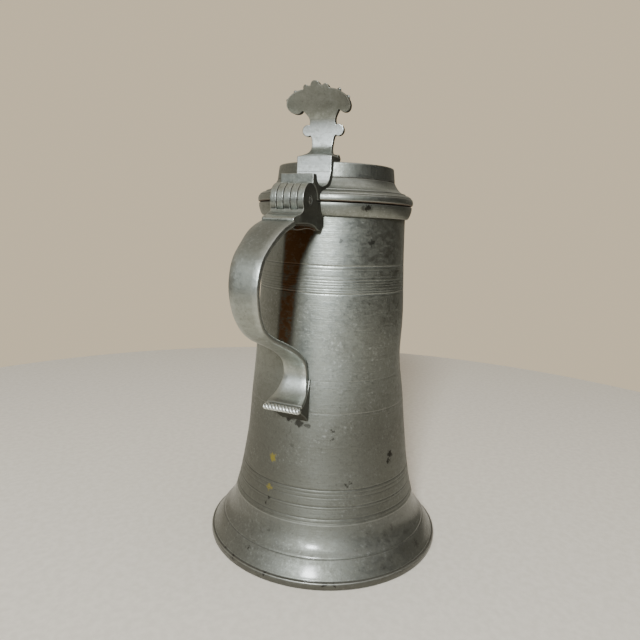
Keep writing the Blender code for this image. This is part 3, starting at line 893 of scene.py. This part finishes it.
def make_handle():
    """The strap, swept along its line, and the wedge between its end and the body."""
    widths = [tuple(p) for p in smooth_line(sorted(STRAP_WIDTHS), 6)]
    line = smooth_line(STRAP_OUTER, 9)
    rows = []
    for i, point in enumerate(line):
        along = (line[min(i + 1, len(line) - 1)] - line[max(i - 1, 0)]).normalized()
        inward = Vector((along.y, -along.x))
        half = lookup(widths, point.y)
        taper = min(1.0, 0.72 + 0.05 * (len(line) - 1 - i))
        for across, depth in strap_section(half, STRAP_THICKNESS * taper):
            spot = point + inward * max(depth, 0.0)
            rows.append((spot.x, across, spot.y))
    columns = len(strap_section(8.0, STRAP_THICKNESS))
    faces = loop_faces(len(line), columns, False)
    last = (len(line) - 1) * columns
    faces += [tuple(range(columns)), tuple(range(last + columns - 1, last - 1, -1))]
    strap = new_object("strap", mesh_from("strap", rows, faces))
    bevel = strap.modifiers.new("Round", 'BEVEL')
    bevel.width = 0.0003
    bevel.segments = 2
    bevel.limit_method = 'ANGLE'
    bevel.angle_limit = math.radians(38)
    finished(settled(strap), "flagon", ["handle_strap"], HANDLE, 1, strap_dirt_shade_and_sheen)

    resting = [p for p in offset(line, STRAP_THICKNESS - 0.1) if p.y < 113.5 and p.x > 48.3]
    underside = [(64.4, 98.9), (63.6, 98.1), (56.0, 93.6), (49.5, 89.0), (44.0, 86.6)]
    side = [(44.0, 114.0)] + [tuple(p) for p in resting] + underside
    wedge = extruded("wedge", side, "v", -14.0, 14.0)
    taper = [(42.0, -7.6), (66.0, -10.8), (66.0, 10.8), (42.0, 7.6)]
    cut(wedge, [extruded("taper", taper, "z", 80.0, 120.0)], 'INTERSECT')
    wall = [(lookup(BODY_CURVE, z) - 0.3, z) for z in (130.0, 120.0, 108.0, 95.0, 80.0)]
    cut(wedge, [turned("room", [(0.0, 130.0)] + wall + [(0.0, 80.0)], steps=96)])
    wedge = cast("strap_wedge", [wedge], 0.26, 4)
    finished(wedge, "flagon", ["handle_foot"], CAST, 3, wedge_dirt_and_shade)
    make_rope_bar()


def make_rope_bar():
    """Twisted bar across the end of the strap, with rounded ends."""
    centre_u = (BAR_LOW.x + BAR_HIGH.x) / 2 - AXIS_X
    centre_z = (BAR_LOW.z + BAR_HIGH.z) / 2
    radius = (BAR_HIGH.z - BAR_LOW.z) / 2
    half = (BAR_HIGH.y - BAR_LOW.y) / 2
    strands = 3
    pitch = 6.3
    steps = 48
    rows = []
    for y in np.linspace(-half, half, 150):
        close = min(1.0, (half - abs(y)) / 0.9)
        swell = math.sqrt(max(0.0, 1.0 - (1.0 - close) ** 2)) * 0.45 + 0.55
        for k in range(steps):
            angle = 2.0 * math.pi * k / steps
            wave = abs(math.cos(0.5 * strands * (angle + 2.0 * math.pi * y / pitch)))
            r = radius * swell * (0.60 + 0.40 * wave ** 0.5)
            rows.append((centre_u + r * math.cos(angle), y, centre_z + r * math.sin(angle)))
    count = len(rows) // steps
    faces = loop_faces(count, steps, False)
    last = (count - 1) * steps
    faces += [tuple(range(steps)), tuple(range(last + steps - 1, last - 1, -1))]
    bar = new_object("rope_bar", mesh_from("rope_bar", rows, faces))
    finished(bar, "flagon", ["terminal_bar"], BRIGHT, 1)


# ------------------------ lid
def make_lid():
    """The turned lid: brim, concave sweep and upright crown, hollow inside."""
    profile = rounded([
        (0.5, 236.3), (12.0, 236.2, 3.0), (29.6, 235.7, 0.6), (30.6, 235.1, 0.4),
        (32.4, 235.1, 0.4), (33.2, 235.45, 0.4), (34.9, 235.45, 0.35), (35.25, 234.9, 0.4),
        (35.7, 231.5, 2.0), (36.0, 228.6, 1.0), (36.15, 227.5, 0.25), (36.0, 227.1, 0.2),
        (36.35, 226.7, 0.25), (37.3, 224.8, 1.2), (39.3, 222.2, 1.4), (41.2, 220.9, 0.8),
        (43.1, 220.4, 0.3), (43.3, 219.8, 0.25), (45.3, 219.2, 0.8), (46.6, 218.3, 0.5),
        (46.9, 217.7, 0.2), (47.5, 217.2, 0.5), (47.95, 215.8, 0.8), (47.9, 214.2, 0.5),
        (47.2, LID_Z, 0.3), (41.5, LID_Z, 0.5), (40.4, 216.6, 1.5), (37.6, 219.8, 2.0),
        (35.4, 223.4, 2.0), (34.2, 228.0, 2.0), (33.4, 232.8, 1.5), (30.0, 233.4, 1.0), (0.5, 234.0),
    ], 5)
    shell = [(0.0, 236.3)] + [tuple(p) for p in profile] + [(0.0, 234.0)]
    finished(turned("lid_dome", shell, uneven=0.7), "lid", ["lid_shell"], TURNED, 1, lid_dirt_and_shade)
    make_thumbpiece()


THUMB_BACK = [
    PLATE_FACE[-1], (33.6, 238.9), (29.6, 241.2), (27.2, 245.0), (26.8, 250.0), (27.2, 255.0),
    (28.2, 259.5), (30.6, 263.5), (34.0, 268.0), (37.8, 273.0), (39.6, 275.5),
    (41.4, THUMB_TOP - 0.6),
]
THUMB_THICKNESS = 2.6
# centre and radius of the roll along the plate's upper edge, on the lid's side
VOLUTE = (25.6, 237.9)
VOLUTE_R = 2.1


def thumb_outline():
    """Outline from the front: base, waisted stem, two knobs, and a crest of lobes."""
    cove = smooth_line([(10.5, 238.3), (9.4, 238.9), (7.5, 240.4), (6.5, 242.6), (6.3, 245.2),
                        (6.6, 248.0)], 4)
    neck = smooth_line([(8.0, 256.9), (7.8, 258.4), (8.1, 260.0), (9.2, 261.7), (10.7, 263.5)], 4)
    wing = smooth_line([(11.2, 263.5), (13.2, 262.2), (15.7, 262.0), (17.8, 262.9), (18.95, 264.8),
                        (18.8, 266.8), (17.6, 269.0), (15.2, 271.0), (12.0, 272.6), (9.0, 273.3)], 4)
    right = (
        [Vector((10.5, 227.0))] + cove + [Vector((7.1, 250.0)), Vector((7.9, 250.7))]
        + arc((9.5, 253.4), 3.15, -120.0, 118.0, 18) + neck + wing + [Vector((7.6, 273.4))]
        + arc((5.8, 273.7), 1.8, 10.0, 140.0, 9)
        + arc((0.0, 274.0), 3.1, 18.0, 90.0, 10)
    )
    return [tuple(p) for p in right] + [(-p[0], p[1]) for p in reversed(right[:-1])]


def curl(u, v, z):
    """The crest's ends bend outward, the plate's upper edge is arched, and the whole stands askew."""
    wing = np.clip((np.abs(v) - 7.0) / 12.0, 0.0, 1.2) ** 2 * np.clip((z - 257.0) / 5.0, 0.0, 1.0)
    arch = (1.0 - (v / 10.5) ** 2) * np.exp(-((z - 238.0) / 1.8) ** 2)
    arch *= np.clip((z - 232.0) / 4.0, 0.0, 1.0)
    return u + 3.2 * wing, v + LID_SKEW, z + 1.1 * np.clip(arch, 0.0, 1.0)


def thumb_dirt_shade_and_sheen(u, v, z, nu, nv, nz):
    """The plate and the stem are lighter, rubbed and with a painted highlight; the crest and the cove
    over the plate are dull, and painted shade darkens the edges.
    """
    crest = 0.50 * step_up(z, 258.0, 266.0)
    cove = 0.45 * step_up(z, 238.2, 239.5) * step_up(z, 244.5, 241.5)
    # Painted shade on the side edges and on every face not turned outward.
    edges = np.maximum(0.60 * step_up(np.abs(nv), 0.5, 0.85), 0.70 * step_up(nu, 0.60, 0.25))
    # Painted highlight with rubbing on the stem and the plate.
    stem = -0.85 * step_up(z, 242.0, 246.0) * step_up(z, 262.0, 253.0)
    rubbed_and_sheen = stem - 0.70 * step_up(z, 238.6, 237.4)
    dirt_and_shade = np.maximum.reduce((crest, cove, edges))
    return np.where(dirt_and_shade > 0.02, dirt_and_shade, rubbed_and_sheen * (nu > 0.0))


def make_thumbpiece():
    """A bent plate cut to its outline, with lobes, knobs and a rolled edge on the lid's side."""
    back = smooth_line(THUMB_BACK, 8)
    front = [p for p in offset(back, -THUMB_THICKNESS) if p.y > 240.0]
    side = [(38.3, 227.0)] + PLATE_FACE[:3]
    side += [tuple(p) for p in back] + [tuple(p) for p in reversed(front)]
    side += arc(VOLUTE, VOLUTE_R, 80.0, 270.0, 20) + [(30.0, 235.2), (30.0, 227.0)]
    plate = extruded("plate", side, "v", -24.0, 24.0)
    cut(plate, [extruded("outline", thumb_outline(), "u", 10.0, 60.0)], 'INTERSECT')
    lid_room = turned("room", [(0.0, 235.3), (35.0, 235.3), (35.5, 231.0), (35.8, 229.0), (36.0, 220.0),
                               (0.0, 220.0)], steps=96)
    cut(plate, [lid_room])

    back_at = [(p.y, p.x) for p in back]

    def on_front(z):
        """Place just off the plate's lid side at a height, and the plate's lean there."""
        lean = math.atan(lookup(back_at, z + 0.5) - lookup(back_at, z - 0.5))
        return lookup(back_at, z) - (THUMB_THICKNESS + 0.1) * math.cos(lean), lean

    relief = []
    for sign in (-1.0, 1.0):
        lobes = [(9.5, 253.4, 2.9, 2.9, 0.0), (5.6, 270.2, 1.9, 5.2, -16.0),
                 (10.2, 269.8, 2.1, 5.6, -40.0), (14.6, 267.4, 2.2, 4.8, -66.0)]
        for v, z, narrow, long, turn in lobes:
            u, lean = on_front(z)
            relief.append(blob("lobe", (u, sign * v, z), (1.6, narrow, long), sign * turn, lean))
        volute = rod("volute", VOLUTE, VOLUTE_R, *sorted((0.0, sign * 10.2)), 32)
        dimple = rod("dimple", VOLUTE, 1.1, *sorted((sign * 8.6, sign * 12.0)), 24)
        relief.append(cut(volute, [dimple]))
    for z, narrow, long in ((267.5, 2.2, 7.0), (274.6, 2.9, 2.9), (249.5, 3.0, 7.5)):
        u, lean = on_front(z)
        relief.append(blob("midrib", (u, 0.0, z), (1.6, narrow, long), 0.0, lean))
    thumb = cast("thumb_casting", [plate] + relief, 0.22, 4)
    sliced(thumb, PLATE_SPLIT + 0.04, keep_above=True)
    finished(warped(thumb, curl), "lid", ["thumbpiece"], CAST, 3, thumb_dirt_shade_and_sheen)


# ------------------------ studio
TABLE_R = 0.56         # metres


def make_camera():
    """Camera close behind the handle, a little to its left-hand side, slightly tilted."""
    azimuth, distance, height = math.radians(22.0), 350.7, 200.0
    yaw, pitch, roll = math.radians(-1.12), math.radians(9.69), math.radians(2.13)
    data = bpy.data.cameras.new("camera")
    data.sensor_width = 36.0
    data.lens = 30.96
    camera = new_object("camera", data)
    heading = azimuth + math.pi - yaw
    level_part = math.cos(pitch)
    forward = Vector((math.cos(heading) * level_part, math.sin(heading) * level_part, -math.sin(pitch)))
    right = forward.cross(Vector((0.0, 0.0, 1.0))).normalized()
    up = right.cross(forward)
    level = Matrix((right, up, -forward)).transposed()
    camera.matrix_world = (
        Matrix.Translation((AXIS_X * MM + distance * MM * math.cos(azimuth),
                            distance * MM * math.sin(azimuth), height * MM))
        @ (level @ Matrix.Rotation(roll, 3, 'Z')).to_4x4()
    )
    bpy.context.scene.camera = camera
    return camera


def area_light(name, azimuth_deg, elevation_deg, distance, size, power, tint):
    """A soft round light that points at the middle of the body."""
    data = bpy.data.lights.new(name, 'AREA')
    data.shape = 'DISK'
    data.size = size
    data.energy = power
    data.color = tint
    light = new_object(name, data)
    azimuth, elevation = math.radians(azimuth_deg), math.radians(elevation_deg)
    aim = Vector((AXIS_X * MM, 0.0, 0.14))
    way = Vector((math.cos(azimuth) * math.cos(elevation), math.sin(azimuth) * math.cos(elevation),
                  math.sin(elevation)))
    light.location = aim + way * distance
    light.rotation_euler = way.to_track_quat('Z', 'Y').to_euler()
    return light


def make_world():
    """Dim warm room light, brightest from above and beyond the flagon's left; a plain pale backdrop."""
    world = bpy.data.worlds.new("studio")
    bpy.context.scene.world = world
    world.use_nodes = True
    nodes, links = world.node_tree.nodes, world.node_tree.links
    shown = nodes["Background"]
    shown.inputs["Color"].default_value = colour(0.72, 0.60, 0.42)
    shown.inputs["Strength"].default_value = 1.02
    direction = nodes.new("ShaderNodeTexCoord").outputs["Generated"]
    toward = nodes.new("ShaderNodeVectorMath")
    toward.operation = 'DOT_PRODUCT'
    azimuth = math.radians(238.0)
    toward.inputs[1].default_value = (0.85 * math.cos(azimuth), 0.85 * math.sin(azimuth), 0.60)
    links.new(direction, toward.inputs[0])
    ramp = nodes.new("ShaderNodeValToRGB")
    ramp.color_ramp.elements[0].position = 0.0
    ramp.color_ramp.elements[0].color = colour(0.030, 0.021, 0.010)
    ramp.color_ramp.elements[1].position = 0.80
    ramp.color_ramp.elements[1].color = colour(0.62, 0.56, 0.45)
    links.new(toward.outputs["Value"], ramp.inputs[0])
    room = nodes.new("ShaderNodeBackground")
    links.new(ramp.outputs[0], room.inputs["Color"])
    room.inputs["Strength"].default_value = 0.8
    choose = nodes.new("ShaderNodeMixShader")
    links.new(nodes.new("ShaderNodeLightPath").outputs["Is Camera Ray"], choose.inputs[0])
    links.new(room.outputs[0], choose.inputs[1])
    links.new(shown.outputs[0], choose.inputs[2])
    links.new(choose.outputs[0], nodes["World Output"].inputs["Surface"])


def make_studio():
    """A round pale table top, a warm room, one soft light by the camera and one overhead."""
    floor_mesh = bpy.data.meshes.new("floor")
    bm = bmesh.new()
    bmesh.ops.create_circle(bm, cap_ends=True, segments=192, radius=TABLE_R)
    bm.to_mesh(floor_mesh)
    bm.free()
    floor = new_object("floor", floor_mesh)
    s = Shader("pale_floor")
    weave = s.noise(220.0, 3.0)
    tint = s.mix(s.span(weave, 0.3, 0.7), colour(0.72, 0.665, 0.575), colour(0.79, 0.735, 0.645))
    s.feed(s.surface.inputs["Base Color"], tint)
    s.surface.inputs["Roughness"].default_value = 0.85
    floor.data.materials.append(s.material)
    make_world()
    area_light("key", 11.0, 26.0, 1.6, 0.30, 38.0, (0.93, 0.98, 1.0))
    area_light("top", 75.0, 72.0, 1.6, 1.6, 9.5, (1.0, 0.97, 0.93))


# ------------------------ the scene
# (height, outer radius) of the foot, for its dark spots
FOOT_RADII = [
    (3.2, 74.8), (5.0, 73.2), (8.8, 70.6), (14.0, 66.6), (17.8, 63.3), (21.8, 61.1), (26.5, 59.5),
    (30.0, 58.6),
]


def foot_radius(z):
    """Outer radius of the foot at a height."""
    return lookup(FOOT_RADII, z)


def upper_radius(z):
    """Outer radius of the body or the rim band at a height."""
    return 47.0 if z > BAND_LOW.z else lookup(BODY_CURVE, z)


LIGHT_GREY = colour(0.445, 0.475, 0.44)
DARK_GREY = colour(0.325, 0.34, 0.30)
TURNED = pewter("pewter_turned", LIGHT_GREY, DARK_GREY, 0.37, 1.0, SPOTS, STAINS, upper_radius)
FOOT = pewter("pewter_foot", LIGHT_GREY, DARK_GREY, 0.41, 1.0, FOOT_SPOTS, (), foot_radius, 0.55)
CAST = pewter("pewter_cast", LIGHT_GREY, DARK_GREY, 0.36, 0.0)
HANDLE = pewter("pewter_strap", LIGHT_GREY, DARK_GREY, 0.40, 0.0)
# Lighter pewter for the rope bar: a painted highlight over its strands.
BRIGHT = pewter("pewter_painted_light", colour(0.80, 0.83, 0.80), colour(0.60, 0.62, 0.59), 0.44, 0.0)
INSIDE = pewter("pewter_inside", colour(0.30, 0.30, 0.27), colour(0.16, 0.16, 0.14), 0.48, 0.6)
PIN = pewter("pin_iron", colour(0.11, 0.10, 0.09), colour(0.05, 0.045, 0.04), 0.50, 0.0)
make_camera()
make_studio()
make_body()
make_hinge()
make_handle()
make_lid()
